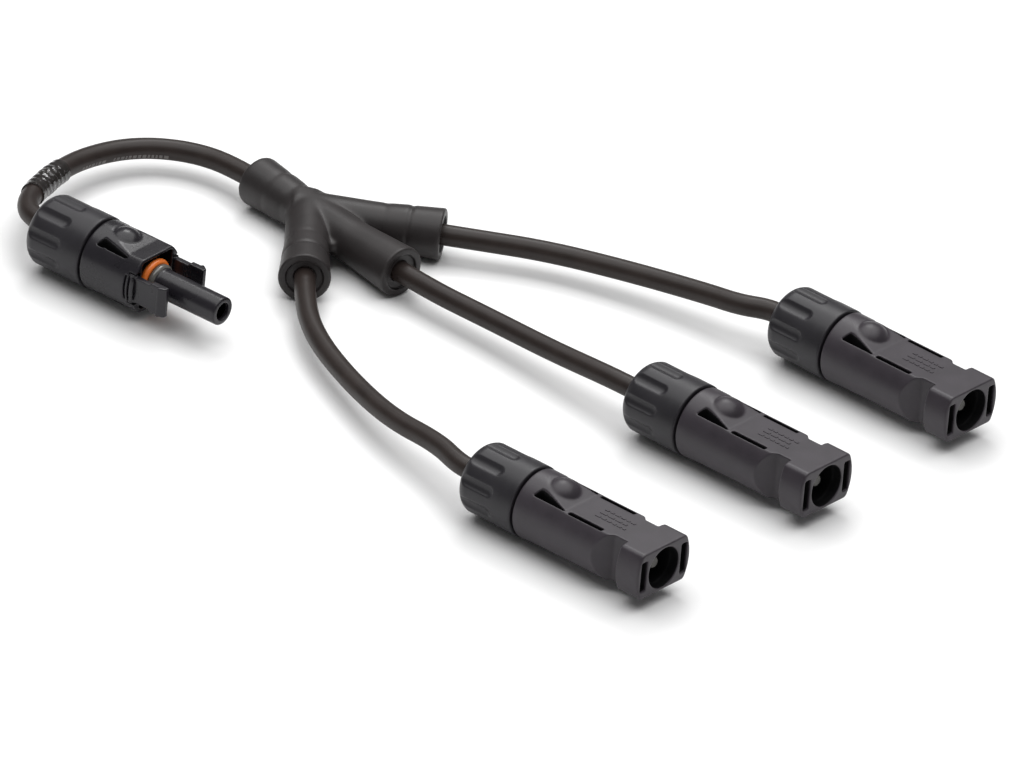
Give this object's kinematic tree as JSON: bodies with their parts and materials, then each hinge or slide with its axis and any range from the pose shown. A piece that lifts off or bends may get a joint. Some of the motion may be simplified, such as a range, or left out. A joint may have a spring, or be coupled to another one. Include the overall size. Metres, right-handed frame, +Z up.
{
  "type": "solar branch cable connector",
  "caption": "Solar branch lead: a latching plug connector feeds a moulded splitter, whose short cables end in socket connectors with screw-on gland nuts.",
  "frame": {"origin": "on the surface the lead lies on, under the middle of the connectors and splitter", "axes": "+X the way the three socket mouths face, +Y towards the back socket, +Z up"},
  "size_m": [0.235, 0.1362, 0.0198],
  "materials": {
    "housing_plastic": "satin moulded",
    "nut_plastic": "satin moulded",
    "cage_plastic": "moulded",
    "seal_rubber": "matte",
    "orange_rubber": "satin",
    "cable_jacket": "satin",
    "overmould_rubber": "matte",
    "clear_film": "clear",
    "plated_contact": "tin plated",
    "copper_strands": "bare",
    "spring_steel": "bright"
  },
  "bodies": {
    "root": {"front_cable_seal": "seal_rubber", "front_conductor": "copper_strands", "front_housing": "housing_plastic", "front_contact_pin": "plated_contact", "front_retaining_clip": "spring_steel", "middle_cable_seal": "seal_rubber", "middle_conductor": "copper_strands", "middle_housing": "housing_plastic", "middle_contact_pin": "plated_contact", "middle_retaining_clip": "spring_steel", "back_cable_seal": "seal_rubber", "back_conductor": "copper_strands", "back_housing": "housing_plastic", "back_contact_pin": "plated_contact", "back_retaining_clip": "spring_steel", "plug_cable_seal": "seal_rubber", "plug_conductor": "copper_strands", "plug_housing": "housing_plastic", "plug_contact_tube": "plated_contact", "plug_retaining_clip": "spring_steel", "plug_o_ring": "orange_rubber", "trunk_cable": "cable_jacket", "splitter_trunk_core": "copper_strands", "front_cable": "cable_jacket", "splitter_front_core": "copper_strands", "middle_cable": "cable_jacket", "splitter_middle_core": "copper_strands", "back_cable": "cable_jacket", "splitter_back_core": "copper_strands", "label_sleeve": "clear_film", "splitter_ferrule": "plated_contact", "splitter_overmould": "overmould_rubber"},
    "front_cage": {"front_clamp_cage": "cage_plastic"},
    "front_nut": {"front_gland_nut": "nut_plastic"},
    "middle_cage": {"middle_clamp_cage": "cage_plastic"},
    "middle_nut": {"middle_gland_nut": "nut_plastic"},
    "back_cage": {"back_clamp_cage": "cage_plastic"},
    "back_nut": {"back_gland_nut": "nut_plastic"},
    "plug_cage": {"plug_clamp_cage": "cage_plastic"},
    "plug_nut": {"plug_gland_nut": "nut_plastic"},
    "plug_left_arm": {"plug_left_latch": "housing_plastic"},
    "plug_right_arm": {"plug_right_latch": "housing_plastic"}
  },
  "joints": [
    {"name": "front_cage_slide", "type": "slide", "parent": "root", "child": "front_cage", "axis": [-1, 0, 0], "range_m": [0, 0.00226]},
    {"name": "front_nut_turn", "type": "hinge", "parent": "front_cage", "child": "front_nut", "pos_m": [0.0557, -0.0584, 0.0099], "axis": [-1, 0, 0], "range_deg": [0, 540]},
    {"name": "middle_cage_slide", "type": "slide", "parent": "root", "child": "middle_cage", "axis": [-1, 0, 0], "range_m": [0, 0.00226]},
    {"name": "middle_nut_turn", "type": "hinge", "parent": "middle_cage", "child": "middle_nut", "pos_m": [0.0557, 0.0026, 0.0099], "axis": [-1, 0, 0], "range_deg": [0, 540]},
    {"name": "back_cage_slide", "type": "slide", "parent": "root", "child": "back_cage", "axis": [-1, 0, 0], "range_m": [0, 0.00226]},
    {"name": "back_nut_turn", "type": "hinge", "parent": "back_cage", "child": "back_nut", "pos_m": [0.0547, 0.0584, 0.0099], "axis": [-1, 0, 0], "range_deg": [0, 540]},
    {"name": "plug_cage_slide", "type": "slide", "parent": "root", "child": "plug_cage", "axis": [-0.9996, -0.0279, 0], "range_m": [0, 0.00226]},
    {"name": "plug_nut_turn", "type": "hinge", "parent": "plug_cage", "child": "plug_nut", "pos_m": [-0.097, -0.04785, 0.0099], "axis": [-0.9996, -0.0279, 0], "range_deg": [0, 540]},
    {"name": "plug_left_latch_flex", "type": "hinge", "parent": "root", "child": "plug_left_arm", "pos_m": [-0.07201, -0.03975, 0.0099], "axis": [0, 0, -1], "range_deg": [0, 6], "stiffness_Nm_per_rad": 0.05},
    {"name": "plug_right_latch_flex", "type": "hinge", "parent": "root", "child": "plug_right_arm", "pos_m": [-0.0716, -0.05454, 0.0099], "axis": [0, 0, 1], "range_deg": [0, 6], "stiffness_Nm_per_rad": 0.05}
  ],
  "couplings": [
    {"joint": "front_cage_slide", "follows": "front_nut_turn", "m_per_rad": 0.00023873},
    {"joint": "middle_cage_slide", "follows": "middle_nut_turn", "m_per_rad": 0.00023873},
    {"joint": "back_cage_slide", "follows": "back_nut_turn", "m_per_rad": 0.00023873},
    {"joint": "plug_cage_slide", "follows": "plug_nut_turn", "m_per_rad": 0.00023873}
  ]
}
